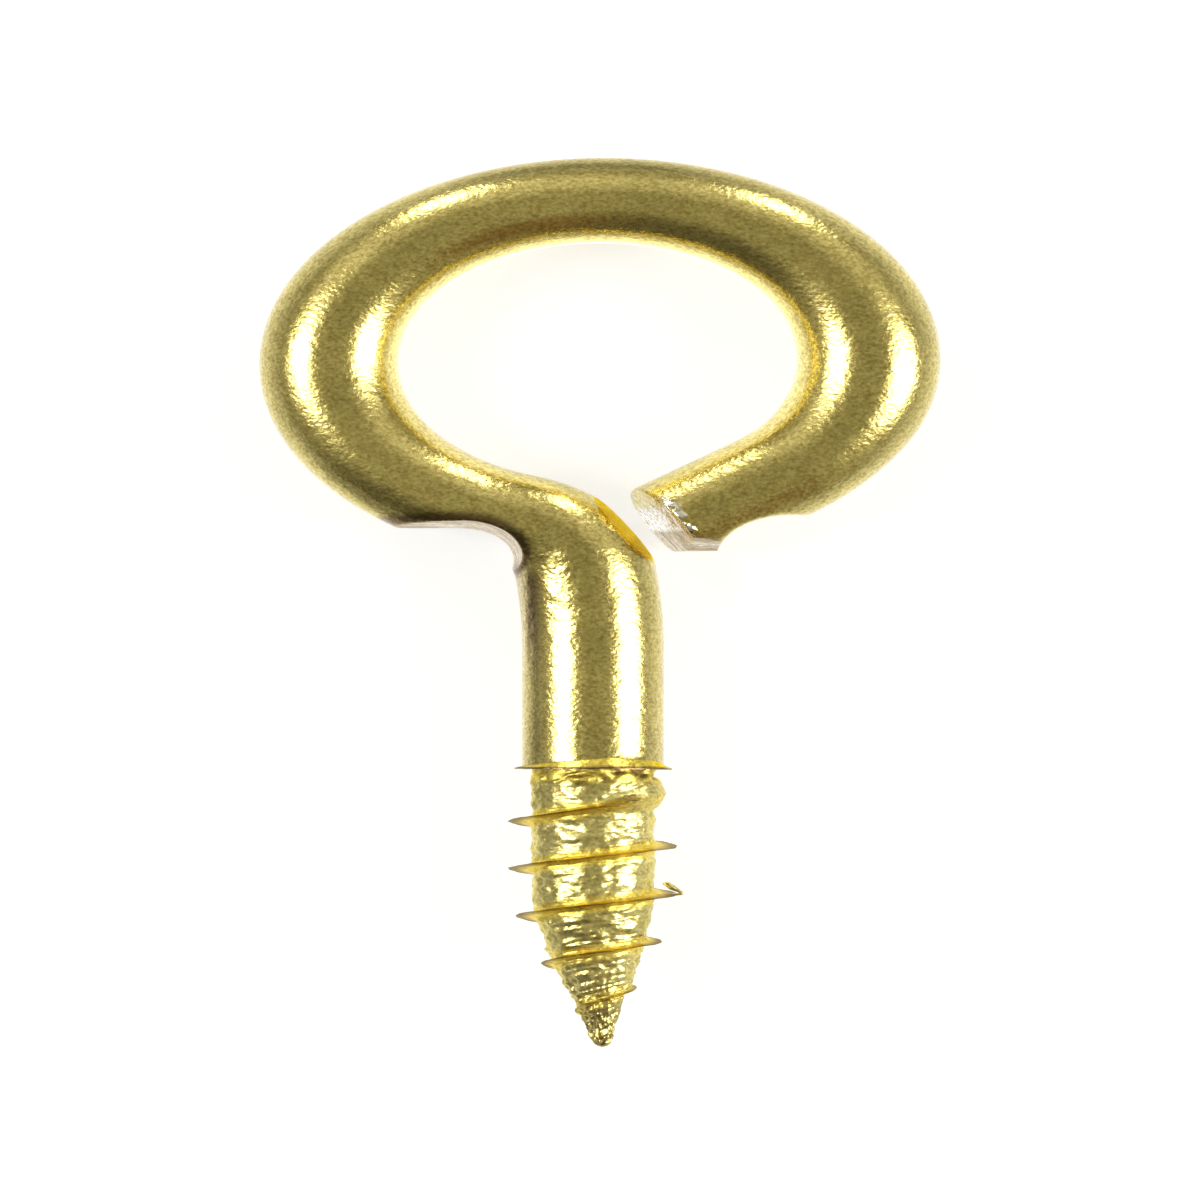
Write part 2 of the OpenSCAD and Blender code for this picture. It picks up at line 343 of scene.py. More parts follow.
class Field:
    """A number or a vector that varies over a surface. Arithmetic on it adds nodes to its tree."""

    def __init__(self, tree, socket):
        self.tree = tree
        self.socket = socket

    def is_vector(self):
        return self.socket.type in {"VECTOR", "RGBA"}

    def math(self, operation, *others, kind="ShaderNodeMath", output="Value"):
        node = add_node(self.tree, kind, operation=operation)
        for socket, value in zip(node.inputs, (self, *others)):
            plug(self.tree, value, socket)
        return Field(self.tree, node.outputs[output])

    def vector_math(self, operation, *others, output="Vector"):
        return self.math(operation, *others, kind="ShaderNodeVectorMath", output=output)

    def __add__(self, other):
        add = self.vector_math if self.is_vector() else self.math
        return add("ADD", other)

    def __sub__(self, other):
        take = self.vector_math if self.is_vector() else self.math
        return take("SUBTRACT", other)

    def __rsub__(self, other):
        return constant(self.tree, other) - self

    def __mul__(self, other):
        if self.is_vector():
            return self.scaled(other)
        return self.math("MULTIPLY", other)

    def __truediv__(self, other):
        return self.math("DIVIDE", other)

    __radd__ = __add__
    __rmul__ = __mul__

    def scaled(self, factor):
        inputs = {"Vector": self, "Scale": factor}
        node = add_node(self.tree, "ShaderNodeVectorMath", inputs, operation="SCALE")
        return Field(self.tree, node.outputs["Vector"])

    def dot(self, other):
        return self.vector_math("DOT_PRODUCT", other, output="Value")

    def length(self):
        return self.vector_math("LENGTH", output="Value")

    def magnitude(self):
        return self.math("ABSOLUTE")

    def cos(self):
        return self.math("COSINE")

    def sin(self):
        return self.math("SINE")

    def power(self, exponent):
        return self.math("POWER", exponent)

    def at_most(self, limit):
        return self.math("MINIMUM", limit)

    def at_least(self, limit):
        return self.math("MAXIMUM", limit)

    def soft_max(self, limit, softness):
        return self.math("SMOOTH_MAX", limit, softness)

    def is_over(self, limit):
        return self.math("GREATER_THAN", limit)

    def is_under(self, limit):
        return self.math("LESS_THAN", limit)

    def share(self, low, high, smooth=False):
        """How far the number is from low to high, from 0 to 1."""
        inputs = {"Value": self, "From Min": low, "From Max": high}
        node = add_node(self.tree, "ShaderNodeMapRange", inputs)
        node.interpolation_type = "SMOOTHSTEP" if smooth else "LINEAR"
        return Field(self.tree, node.outputs["Result"])

    def parts(self):
        node = self.tree.nodes.new("ShaderNodeSeparateXYZ")
        plug(self.tree, self, node.inputs[0])
        return [Field(self.tree, socket) for socket in node.outputs]


def plug(tree, value, socket):
    """Links a field or a socket to a socket, or sets a plain value on it."""
    if isinstance(value, Field):
        tree.links.new(value.socket, socket)
    elif isinstance(value, bpy.types.NodeSocket):
        tree.links.new(value, socket)
    elif value is not None:
        socket.default_value = value


def constant(tree, value):
    node = tree.nodes.new("ShaderNodeValue")
    node.outputs[0].default_value = value
    return Field(tree, node.outputs[0])


def vector(tree, x, y, z):
    node = add_node(tree, "ShaderNodeCombineXYZ", {"X": x, "Y": y, "Z": z})
    return Field(tree, node.outputs[0])


def add_node(tree, kind, inputs=None, **settings):
    """A new node with its settings, its inputs given by name."""
    node = tree.nodes.new(kind)
    for name, value in settings.items():
        setattr(node, name, value)
    for name, value in (inputs or {}).items():
        plug(tree, value, node.inputs[name])
    return node


def between(share, low, high):
    return low + (high - low) * share


def grain(place, size, seed, detail=0.0, roughness=0.5):
    """Fixed noise from 0 to 1 with lumps about size across. The size is a number or a field."""
    scale = constant(place.tree, 1.0) / size if isinstance(size, Field) else 1 / size
    inputs = {"Vector": place, "W": seed, "Scale": scale, "Detail": detail, "Roughness": roughness}
    texture = add_node(place.tree, "ShaderNodeTexNoise", inputs, noise_dimensions="4D")
    return Field(place.tree, texture.outputs["Fac"])


def noise(place, size, seed, detail=0.0, roughness=0.5):
    """The same noise around 0, from -1 to 1."""
    return grain(place, size, seed, detail, roughness) * 2 - 1


def interface_socket(tree, name, kind, in_out="INPUT"):
    return tree.interface.new_socket(name=name, in_out=in_out, socket_type=kind)


def link_object(name, data):
    """A new object in the scene."""
    made = bpy.data.objects.new(name, data)
    bpy.context.scene.collection.objects.link(made)
    return made


# ---- geometry trees


class ShapeTree:
    """A Geometry Nodes tree with named inputs, and the modifier that runs it on one object."""

    def __init__(self, name, sizes):
        self.tree = bpy.data.node_groups.new(name, "GeometryNodeTree")
        interface_socket(self.tree, "Geometry", "NodeSocketGeometry")
        interface_socket(self.tree, "Geometry", "NodeSocketGeometry", "OUTPUT")
        self.values = {}
        for label, value in sizes.items():
            socket = interface_socket(self.tree, label, SOCKET_KINDS[type(value)])
            plain = tuple(value) if isinstance(value, Vector) else value
            self.values[socket.identifier] = plain
        self.inside = self.tree.nodes.new("NodeGroupInput")
        self.geometry = self.inside.outputs["Geometry"]

    def size(self, label):
        return Field(self.tree, self.inside.outputs[label])

    def step(self, kind, inputs=None, **settings):
        """One node of the chain that carries the geometry."""
        node = add_node(self.tree, kind, inputs, **settings)
        self.tree.links.new(self.geometry, node.inputs[0])
        self.geometry = node.outputs[0]

    def start_with_grid(self, inputs):
        """A flat grid to bend, in place of the object's own mesh."""
        grid = add_node(self.tree, "GeometryNodeMeshGrid", inputs)
        self.geometry = grid.outputs["Mesh"]

    def position(self):
        return Field(self.tree, self.tree.nodes.new("GeometryNodeInputPosition").outputs[0])

    def attribute(self, name, data_type="FLOAT"):
        kind = "GeometryNodeInputNamedAttribute"
        node = add_node(self.tree, kind, {"Name": name}, data_type=data_type)
        return Field(self.tree, node.outputs["Attribute"])

    def store(self, name, value, where=None):
        inputs = {"Name": name, "Value": value, "Selection": where}
        self.step("GeometryNodeStoreNamedAttribute", inputs, domain="POINT")

    def store_larger(self, name, value, where=None):
        """Keeps the larger of a stored value and a new one."""
        self.store(name, self.attribute(name).at_least(value), where)

    def forget(self, *names):
        for name in names:
            self.step("GeometryNodeRemoveAttribute", {"Name": name})

    def move_to(self, position, where=None):
        self.step("GeometryNodeSetPosition", {"Position": position, "Selection": where})

    def finish(self, material, turned_out=True, gold_material=None):
        """Closes the seams and sets the material, and another one for the gold: where lacquer
        gathered, partly painted reflection.
        """
        self.step("GeometryNodeMergeByDistance", {"Distance": MERGE_DISTANCE})
        if not turned_out:
            self.step("GeometryNodeFlipFaces")
        self.step("GeometryNodeSetShadeSmooth")
        self.step("GeometryNodeRealizeInstances")
        self.step("GeometryNodeSetMaterial", {"Material": material})
        if gold_material:
            in_gold = self.attribute("lacquer_and_reflection").is_over(GOLD_OVER)
            self.step("GeometryNodeSetMaterial", {"Material": gold_material, "Selection": in_gold})
        out = self.tree.nodes.new("NodeGroupOutput")
        self.tree.links.new(self.geometry, out.inputs[0])

    def mesh(self, name, base):
        """The plain mesh that the tree makes of a base mesh."""
        holder = link_object(name, base)
        modifier = holder.modifiers.new(name, "NODES")
        modifier.node_group = self.tree
        for identifier, value in self.values.items():
            modifier[identifier] = value
        made = evaluated_mesh(holder)
        made.name = name
        if made.materials[0] is None:
            made.materials.pop(index=0)
        bpy.data.objects.remove(holder)
        return made


def evaluated_mesh(holder):
    depsgraph = bpy.context.evaluated_depsgraph_get()
    depsgraph.update()
    return bpy.data.meshes.new_from_object(
        holder.evaluated_get(depsgraph), preserve_all_data_layers=True, depsgraph=depsgraph
    )


def press_die(shape, die, name=None):
    """Pushes what lies inside an upright die out to its surface.

    The die is round, wider above and below, and runs on straight to the left of its centre.
    With a name it also notes what it touched, and paints shade on the plating beside that, reaching
    furthest above the bite.
    """
    centre, radius, softness, run, flare = (shape.size(f"{die} {label}") for label in DIE_INPUTS)
    x, y, z = shape.position().parts()
    centre_x, centre_y, _ = centre.parts()
    axis_x = x.at_most(centre_x).at_least(centre_x - run)
    from_axis = vector(shape.tree, x - axis_x, y - centre_y, 0.0)
    distance = from_axis.length()
    die_radius = radius + z.magnitude() * flare
    if name:
        depth = die_radius - distance
        touched = depth.share(-MARK_EDGE, MARK_EDGE)
        shape.store_larger(name, touched)
        # Painted shade beside the bite: a dark band that reaches furthest above it.
        upwards = ((y - centre_y) / distance).at_least(0.0)
        reach = upwards * (SHADE_ABOVE - SHADE_BESIDE) + SHADE_BESIDE
        beside = (depth / reach + 1).share(0.0, SHADE_FADE, smooth=True)
        shape.store("darkening_and_shade", beside * (1 - touched) * SHADE_SHARE)
    pushed = from_axis.scaled(distance.soft_max(die_radius, softness) / distance)
    pushed_x, pushed_y, _ = pushed.parts()
    shape.move_to(vector(shape.tree, axis_x + pushed_x, centre_y + pushed_y, z))


def press_plane(shape, point, normal, name, where):
    """Pushes what lies beyond a plane back onto it, and notes what it touched."""
    normal = normal if isinstance(normal, Field) else vector(shape.tree, *normal)
    beyond = (shape.position() - point).dot(normal)
    shape.store_larger(name, beyond.share(-MARK_EDGE, MARK_EDGE), where)
    pushed_in = normal.scaled(beyond.soft_max(0.0, shape.size("Edge softness")))
    shape.move_to(shape.position() - pushed_in, where)


# ---- the bent wire


def arc(centre, radius, start, end, step=RING_STEP):
    """Points along an arc from one angle to another, without the last one."""
    steps = max(2, round(abs(end - start) * radius / step))
    angles = [start + (end - start) * i / steps for i in range(steps)]
    return [centre + radius * direction(angle) for angle in angles]


def line(start, end, step=RING_STEP):
    """Points along a straight run, without the last one."""
    steps = max(2, round((end - start).length / step))
    return [start.lerp(end, i / steps) for i in range(steps)]


def cap_rings():
    """The closed end: (distance back from the face, share of the wire's radius), centre first."""
    flat = 1 - CAP_ROUNDING / WIRE_R
    rings = []
    for i in range(CAP_RINGS):
        rings.append((CAP_CROWN * (i / CAP_RINGS) ** 2, flat * i / CAP_RINGS))
    for i in range(ROUNDING_RINGS):
        turn = math.pi / 2 * i / ROUNDING_RINGS
        back = CAP_CROWN + CAP_ROUNDING * (1 - math.cos(turn))
        rings.append((back, flat + (1 - flat) * math.sin(turn)))
    return rings


def wire_path():
    """The wire's centreline from the sheared end to inside the thread: (point, share of radius)."""
    face = end_from + end_len * end_dir
    path = [(face - back * end_dir, fullness) for back, fullness in cap_rings()]
    eye_centre = Vector((0, 0, 0))
    closing = Vector((CLOSING_IN, 0, 0))
    cap_depth = CAP_CROWN + CAP_ROUNDING
    shank_end = Vector((SHANK_OFFSET, TIP_Y + THREAD_LEN + SHOULDER_H / 2, 0))
    lean_centre = Vector((SHANK_OFFSET - LEAN_R, shank_top, 0))
    neck_start = math.pi / 2 - neck_from
    straight_down = 1.5 * math.pi
    runs = [
        line(face - cap_depth * end_dir, end_from, FINE_STEP),
        arc(closing, CLOSING_R, FREE_END_SLOPE - math.pi / 2, 0),
        arc(eye_centre, EYE_R, 0, FINE_FROM),
        arc(eye_centre, EYE_R, FINE_FROM, straight_down - neck_from, FINE_STEP),
        arc(neck_centre, NECK_R, neck_start, LEAN_ANGLE, FINE_STEP),
        arc(lean_centre, LEAN_R, LEAN_ANGLE, 0),
        line(Vector((SHANK_OFFSET, shank_top, 0)), shank_end),
    ]
    path += [(point, 1.0) for run in runs for point in run]
    path += [(shank_end, 1.0), (shank_end - Vector((0, INNER_CAP, 0)), 0.0)]
    return path


def path_mesh(path):
    """A centreline as a mesh of edges, with what the sweep needs stored on its points."""
    mesh = bpy.data.meshes.new("path")
    points = [point for point, _ in path]
    mesh.from_pydata(points, [(i, i + 1) for i in range(len(points) - 1)], [])
    along = [0.0]
    for before, after in zip(points, points[1:]):
        along.append(along[-1] + (after - before).length)
    fullness = mesh.attributes.new("fullness", "FLOAT", "POINT")
    fullness.data.foreach_set("value", [share for _, share in path])
    mesh.attributes.new("along", "FLOAT", "POINT").data.foreach_set("value", along)
    spine = mesh.attributes.new("spine", "FLOAT_VECTOR", "POINT")
    spine.data.foreach_set("vector", [c for point in points for c in point])
    return mesh, along[-1]


def sheared_normal(rake):
    """The cut's normal, leaning up by the rake."""
    raked = Matrix.Rotation(-rake, 3, "Y") @ Vector((1, 0, 0))
    return Matrix.Rotation(CUT_ANGLE, 3, "Z") @ raked


def on_ring(angle, radius):
    """A place around the eye's centre, its angle counted from straight down."""
    return radius * direction(angle - math.pi / 2)


def sweep(shape, radius, facets):
    """A round section along the curve that the base mesh describes."""
    shape.step("GeometryNodeMeshToCurve")
    shape.step("GeometryNodeSetCurveNormal", mode="Z_UP")
    circle = {"Resolution": facets, "Radius": radius}
    section = add_node(shape.tree, "GeometryNodeCurvePrimitiveCircle", circle, mode="RADIUS")
    shape.step("GeometryNodeCurveToMesh", {
        "Profile Curve": section.outputs["Curve"],
        "Scale": shape.attribute("fullness"),
    })


def die_sizes(die, *sizes):
    """The named inputs that press_die reads."""
    return {f"{die} {label}": value for label, value in zip(DIE_INPUTS, sizes)}


def wire_sizes(path_len):
    """The named inputs of the wire's tree."""
    end_die_centre = on_ring(END_BITE_ANGLE, EYE_R + WIRE_R - END_BITE + END_DIE_R)
    return {
        "Wire radius": WIRE_R,
        "Facets around": FACETS_AROUND,
        "End direction": end_dir,
        "End face normal": sheared_normal(-END_RAKE),
        "End run": end_len + 2 * WIRE_R,
        "Heel point": Vector((0, end_heel.y + HEEL_CUT, 0)),
        "Neck face point": cut_normal * neck_face,
        "Neck face normal": sheared_normal(NECK_RAKE),
        "Neck run": path_len - (shank_top - TIP_Y - THREAD_LEN) - NECK_REACH,
        "Neck bend": neck_centre,
        "Edge softness": EDGE_SOFTNESS,
        **die_sizes("Neck die", *NECK_DIE),
        **die_sizes("End die", end_die_centre, *END_DIE),
    }


def shear_end(shape, along, at_end):
    """Turns the free end's rings into the sheared face. Returns where that face is bare."""
    end_direction = shape.size("End direction")
    face_normal = shape.size("End face normal")
    off_axis = shape.position() - shape.attribute("spine", "FLOAT_VECTOR")
    slide = off_axis.dot(face_normal) / end_direction.dot(face_normal)
    turned = 1 - along.share(0.0, shape.size("End run"), smooth=True)
    shape.move_to(shape.position() - end_direction.scaled(slide * turned), at_end)

    chips = noise(shape.position(), CHIP_SIZE, SEED, detail=1.0).at_least(0.0) * CHIP_REACH
    on_cap = (chips + (CAP_CROWN + CAP_ROUNDING / 2) - along).share(-MARK_EDGE, MARK_EDGE)
    _, y, _ = shape.position().parts()
    on_face = on_cap * (y - chips).share(*FACE_UNPLATED)
    torn = y.share(*FACE_TORN)
    shape.store("bare", on_face * (torn * (1 - FACE_BARE) + FACE_BARE))
    # Fresh steel in the middle of the face, painted near-white as a highlight.
    shape.store("fresh_and_highlight", on_face * (1 - torn))
    return on_face


def shade_and_burnish_neck(shape):
    """The neck facet's darker top, the burnished strip inside the bend and painted shade beside it
    down the shank.
    """
    x, y, _ = (shape.position() - shape.size("Neck bend")).parts()
    # Darker towards the top of the neck facet.
    darker_facet_top = y.share(*FACET_DARKENED, smooth=True) * shape.attribute("lacquer_and_reflection") * FACET_DARKENING
    shape.store_larger("darkening_and_shade", darker_facet_top)
    from_mandrel = vector(shape.tree, x, y.at_least(0.0), 0.0).length()
    along_shank = (y + SHANK_BURNISH).share(0.0, SHANK_BURNISH)
    strip_edge = NECK_INNER_R + BURNISH_REACH
    burnished = (strip_edge - from_mandrel).share(-BURNISH_EDGE, BURNISH_EDGE)
    shape.store_larger("bare", burnished * along_shank * BURNISH_SHARE)
    # Painted shade: a dark line down the shank beside the burnished strip.
    beside = (strip_edge + SHANK_SHADE - from_mandrel).share(0.0, SHADE_FADE * SHANK_SHADE)
    shank_shade = beside * (1 - burnished) * y.share(*SHANK_SHADE_TOP) * y.share(*SHANK_SHADE_FOOT)
    shape.store_larger("darkening_and_shade", shank_shade * SHADE_SHARE)


def bent_wire(material, gold_material):
    """The wire swept along its path, sheared, grazed and marked by the dies."""
    base, path_len = path_mesh(wire_path())
    shape = ShapeTree("Bent wire", wire_sizes(path_len))
    sweep(shape, shape.size("Wire radius"), shape.size("Facets around"))
    along = shape.attribute("along")
    at_end = along.is_under(shape.size("End run"))
    on_face = shear_end(shape, along, at_end)

    # The dies' bites, the sheared heel and the grazed neck
    press_die(shape, "Neck die", "bare")
    press_die(shape, "End die")
    heel = shape.size("Heel point")
    raked_down = Vector((0, -math.cos(HEEL_RAKE), math.sin(HEEL_RAKE)))
    press_plane(shape, heel, Vector((0, -1, 0)), "bare", at_end)
    press_plane(shape, heel, raked_down, "bare", at_end)
    # The grazed neck face is marked for the gold: a painted reflection of the free end's cut face
    # beside it.
    past_eye = along.is_over(shape.size("Neck run"))
    neck_point = shape.size("Neck face point")
    press_plane(shape, neck_point, shape.size("Neck face normal"), "lacquer_and_reflection", past_eye)

    shade_and_burnish_neck(shape)
    from_bend = (shape.position() - shape.size("Neck bend")).length()
    at_bend = 1 - from_bend.share(*WRINKLED, smooth=True)
    shape.store("wrinkled", at_bend.at_least(on_face))
    shape.forget("fullness", "along", "spine")
    shape.finish(material, gold_material=gold_material)
    return shape.mesh("bent_wire", base)


# ---- the thread


def thread_sizes():
    """The named inputs of the thread's tree."""
    first = math.floor(-phase_z / PITCH - 0.5) - 1 / STEPS_PER_TURN
    last = math.ceil((CORE_TOP - phase_z) / PITCH + 0.5)
    return {
        "First turn": float(first),
        "Turns": math.ceil(last - first),
        "Steps per turn": STEPS_PER_TURN,
        "Columns": STRIP_COLUMNS,
        "Pitch": PITCH,
        "Phase": phase_z,
        "Core radius": ROOT_R,
        "Core top": CORE_TOP,
        "Fin height": CREST_RISE + ROOT_CUT,
        "Fin base width": FIN_BASE_W,
        "Fin power": FIN_POWER,
        "Fins from": FINS_FROM,
        "Fins end": THREAD_END,
        "Run in": RUN_IN * PITCH,
        "Point length": POINT_LEN,
        "Point belly": POINT_BELLY,
        "Tip radius": TIP_R,
        "Tip drift": TIP_DRIFT,
        "Seed": SEED,
    }


class HelixPlace:
    """Where each point of the thread's grid lies along and around the thread."""

    def __init__(self, shape):
        size = shape.size
        across, up, _ = shape.position().parts()
        turn = size("First turn") + (up + 0.5) * size("Turns")
        self.angle = turn * (2 * math.pi)
        self.around = vector(shape.tree, self.angle.cos(), self.angle.sin(), turn)

        # Columns crowd towards the crest.
        spread = across.magnitude().power(COLUMN_CROWDING) * across.math("SIGN")
        self.from_crest = spread * size("Pitch") / 2
        self.crest_z = size("Phase") + turn * size("Pitch")
        self.raw_z = self.crest_z + self.from_crest
        self.z = self.raw_z.at_least(0.0).at_most(size("Core top"))


def core_radius(size, left_to_go):
    """A bellied point and a straight stem."""
    narrowing = 1 - left_to_go.power(size("Point belly"))
    return between(narrowing, size("Tip radius"), size("Core radius"))


def closed_ends(size, z):
    """The share of the radius that rounds the tip and closes the skin inside the shank."""
    low = (1 - (1 - z / size("Tip radius")).at_least(0.0).power(2.0)).power(0.5)
    high = ((size("Core top") - z) / CORE_CLOSING).at_most(1.0).power(0.5)
    return low * high


class Fin:
    """The fin grows from the point, is blunt on its last turn and runs out at the shank."""

    def __init__(self, size, at):
        self.growth = at.crest_z.share(size("Fins from"), size("Point length"))
        to_end = (size("Fins end") - at.crest_z) / size("Run in")
        self.run_out = to_end.at_most(1.0).at_least(0.0)
        self.blunt = at.crest_z.share(*BLUNT, smooth=True)
        power = between(self.blunt, size("Fin power"), BLUNT_POWER)
        base_width = between(self.blunt, size("Fin base width"), BLUNT_BASE_W)
        from_ridge = (at.from_crest - self.blunt * BLUNT_SHIFT).magnitude()
        self.flank = (1 - from_ridge / (base_width / 2)).at_least(0.0)
        self.profile = self.flank.power(power)
        dents = noise(at.around, DENT_SIZE, size("Seed"), detail=1.0)
        nicks = noise(at.around, NICK_SIZE, size("Seed") + 3.0, detail=2.0)
        missing = (dents * NICK_DEPTH + nicks * NICK_DEPTH + NICK_BASE).at_least(0.0)
        whole = size("Fin height") * self.growth * self.run_out * self.profile
        self.height = whole * (1 - missing)


class CutterMarks:
    """Twisted ridges and scratches up the point, and crumpled roots between the crests."""

    def __init__(self, shape, at, fin):
        tree = shape.tree
        seed = shape.size("Seed")
        pitch = shape.size("Pitch")
        twist = at.angle - at.raw_z * (2 * math.pi) / pitch
        helix = vector(tree, twist.cos(), twist.sin(), at.raw_z / pitch * RIDGE_STRETCH)
        at_point = 1 - at.raw_z.share(RIDGES_TO * POINT_LEN, POINT_LEN, smooth=True)
        self.ridges = noise(helix, RIDGE_SIZE, seed + 5.0, detail=2.0, roughness=0.6)
        scratches = noise(helix, SCRATCH_SIZE, seed + 9.0, detail=2.0, roughness=0.6)

        # The roots are most crumpled below the shoulder.
        on_core = vector(tree, at.angle.cos() * ROOT_R, at.angle.sin() * ROOT_R, at.raw_z)
        lumps = noise(on_core, LUMP_SIZE, seed + 11.0, detail=2.0)
        level = vector(tree, CRUMPLE_STRETCH, CRUMPLE_STRETCH, 1.0)
        flattened = on_core.vector_math("MULTIPLY", level)
        self.crumple = noise(flattened, CRUMPLE_SIZE, seed + 17.0, detail=2.0, roughness=0.55)
        collar_from = THREAD_LEN - COLLAR
        self.collar = at.raw_z.share(collar_from, collar_from + 0.5 * COLLAR, smooth=True)
        nib = at.z.share(*NIB, smooth=True) * (1 - at.z.share(*NIB_TOP, smooth=True))
        rough = (self.ridges * RIDGE_DEPTH + lumps * LUMP_DEPTH) * at_point
        rough = rough - nib * NIB_PINCH + scratches * SCRATCH_DEPTH
        crumpled = self.crumple * CRUMPLE_DEPTH * (1 - fin.profile) * (1 + self.collar)
        self.depth = (rough + crumpled) * at.z.share(*ROUGH)


def colour_thread(shape, at, fin, marks):
    """Stores where lacquer gathered, its gold partly painted reflection, and where the plating is
    darker: along the crests, in the collar's hollows, and near the tip and in its grooves.
    """
    off_crest = at.from_crest.magnitude()
    beside_crest = off_crest.share(GOLD_REACH, 0.6 * GOLD_REACH)
    # Gold beside the crests: lacquer that gathered there, and painted reflection between the fin's
    # faces.
    on_fin = beside_crest * fin.growth.power(0.5) * (1 - fin.blunt * BLUNT_BARING)
    shape.store("lacquer_and_reflection", on_fin.at_least(marks.collar) * FIN_LACQUER_AND_REFLECTION)
    grown = at.crest_z.share(0.0, 0.5 * POINT_LEN)
    # Darker along the crests, in the collar's hollows, and near the tip and in its grooves.
    on_crest = fin.flank.share(*CREST_DARKENED) * grown * (1 - fin.blunt)
    in_collar = marks.collar * marks.crumple.share(*COLLAR_DARKENED) * COLLAR_DARKENING
    near_tip = 1 - at.raw_z.share(*TIP_DARKENED, smooth=True)
    in_grooves = near_tip * (marks.ridges.share(*TIP_GROOVES) * TIP_GROOVE_DARKENING + TIP_DARKENING)
    shape.store("darkening_and_shade", on_crest.at_least(in_collar).at_least(in_grooves))


def cut_thread(material):
    """The thread as one closed helical skin, ragged along its crest and lumpy at the point."""
    shape = ShapeTree("Cut thread", thread_sizes())
    size = shape.size
    shape.start_with_grid({
        "Size X": 2.0,
        "Size Y": 1.0,
        "Vertices X": size("Columns") + 1,
        "Vertices Y": size("Turns") * size("Steps per turn") + 1,
    })
    at = HelixPlace(shape)
    fin = Fin(size, at)
    marks = CutterMarks(shape, at, fin)
    left_to_go = 1 - (at.z / size("Point length")).at_most(1.0)
    core = core_radius(size, left_to_go)
    radius = (core + fin.height + marks.depth) * closed_ends(size, at.z)
    colour_thread(shape, at, fin, marks)

    # The tip drifts aside, and the crest wavers along the axis.
    drift = size("Tip drift") * left_to_go.power(DRIFT_POWER)
    waver = noise(at.around, WAVER_SIZE, size("Seed") + 13.0, detail=2.0) * CREST_WAVER
    lift = waver * fin.profile * fin.growth * fin.run_out
    shape.move_to(vector(
        shape.tree,
        radius * at.angle.cos() + drift + SHANK_OFFSET,
        at.z + lift + TIP_Y,
        radius * at.angle.sin() * -1.0,
    ))
    shape.finish(material, turned_out=False)
    return shape.mesh("cut_thread", bpy.data.meshes.new("thread_base"))


def crest_burr(material):
    """A sliver of metal curled back from one crest."""
    thickness = BURR[0][2]
    path = [(Vector((SHANK_OFFSET + out, TIP_Y + up, 0)), w / thickness) for out, up, w in BURR]
    finer = []
    for (start, start_share), (end, end_share) in zip(path, path[1:]):
        for i in range(BURR_STEPS):
            share = between(i / BURR_STEPS, start_share, end_share)
            finer.append((start.lerp(end, i / BURR_STEPS), share))
    finer.append(path[-1])
    first = finer[0][0] - Vector((BURR_CAP, 0, 0))
    last = finer[-1][0] + Vector((0, BURR_CAP, 0))
    base, _ = path_mesh([(first, 0.0), *finer, (last, 0.0)])
    shape = ShapeTree("Crest burr", {"Thickness": thickness, "Facets around": BURR_FACETS})
    sweep(shape, shape.size("Thickness") / 2, shape.size("Facets around"))
    shape.forget("fullness", "along", "spine")
    shape.finish(material)
    return shape.mesh("crest_burr", base)


def turned_shoulder(material, gold_material):
    """The ridge that the thread cutter threw up at the end of the plain shank."""
    shape = ShapeTree("Shoulder", {
        "Rim radius": WIRE_R + SHOULDER_RISE,
        "Rim thickness": SHOULDER_RIM,
        "Low slope": SHOULDER_SLOPE_LOW,
        "High slope": SHOULDER_SLOPE_HIGH,
        "High side": SHOULDER_HIGH_SIDE,
        "Facets around": FACETS_AROUND,
        "Seed": SEED,
    })
    tree = shape.tree
    size = shape.size
    shape.start_with_grid({
        "Size X": 4.0,
        "Size Y": 2 * math.pi,
        "Vertices X": SHOULDER_COLUMNS + 1,
        "Vertices Y": size("Facets around") + 1,
    })
    along, angle, _ = shape.position().parts()
    ring = vector(tree, angle.cos(), angle.sin(), 0.0)
    uneven = noise(ring, SHOULDER_LUMPS, size("Seed"), detail=2.0)

    # Along the section: out under the rim, round the rim, up the slope and in again.
    out = along.share(-2.0, -1.0)
    round_rim = along.share(-1.0, -0.5)
    climb = along.share(-0.5, 1.0)
    back_in = along.share(1.0, 2.0)
    rim = size("Rim radius") + uneven * SHOULDER_RAGGED
    to_high_side = ((angle - size("High side")).cos() + 1) / 2
    slope = between(to_high_side.power(SHOULDER_PEAK), size("Low slope"), size("High slope"))
    inside = WIRE_R - SUNK
    radius = (rim * out - (rim - inside) * climb) * (1 - back_in)
    lift = size("Rim thickness") * round_rim + slope * climb + uneven * SHOULDER_WAVER * out
    top = size("Rim thickness") + size("High slope")
    height = lift * (1 - back_in) + top * back_in

    # Lacquer gathered on the high side, its gold partly painted reflection. Painted shade under the
    # rim, and the low side darker in lumps.
    golden = climb.share(0.0, SHOULDER_GOLD_RISE) * to_high_side.share(*SHOULDER_GOLD_SIDE)
    shape.store("lacquer_and_reflection", golden)
    shade_under_rim = 1 - climb.share(0.0, SHOULDER_SHADE_RISE)
    low_side = 1 - to_high_side.share(*SHOULDER_BRIGHT_SIDE)
    darker_low_side = low_side * uneven.share(*SHOULDER_DARKER_LUMPS) * SHOULDER_LOW_DARKENING
    shape.store("darkening_and_shade", shade_under_rim.at_least(darker_low_side))
    shape.move_to(vector(
        tree,
        radius * angle.cos() + SHANK_OFFSET,
        height + (TIP_Y + THREAD_LEN),
        radius * angle.sin() * -1.0,
    ))
    shape.finish(material, turned_out=False, gold_material=gold_material)
    return shape.mesh("turned_shoulder", bpy.data.meshes.new("shoulder_base"))


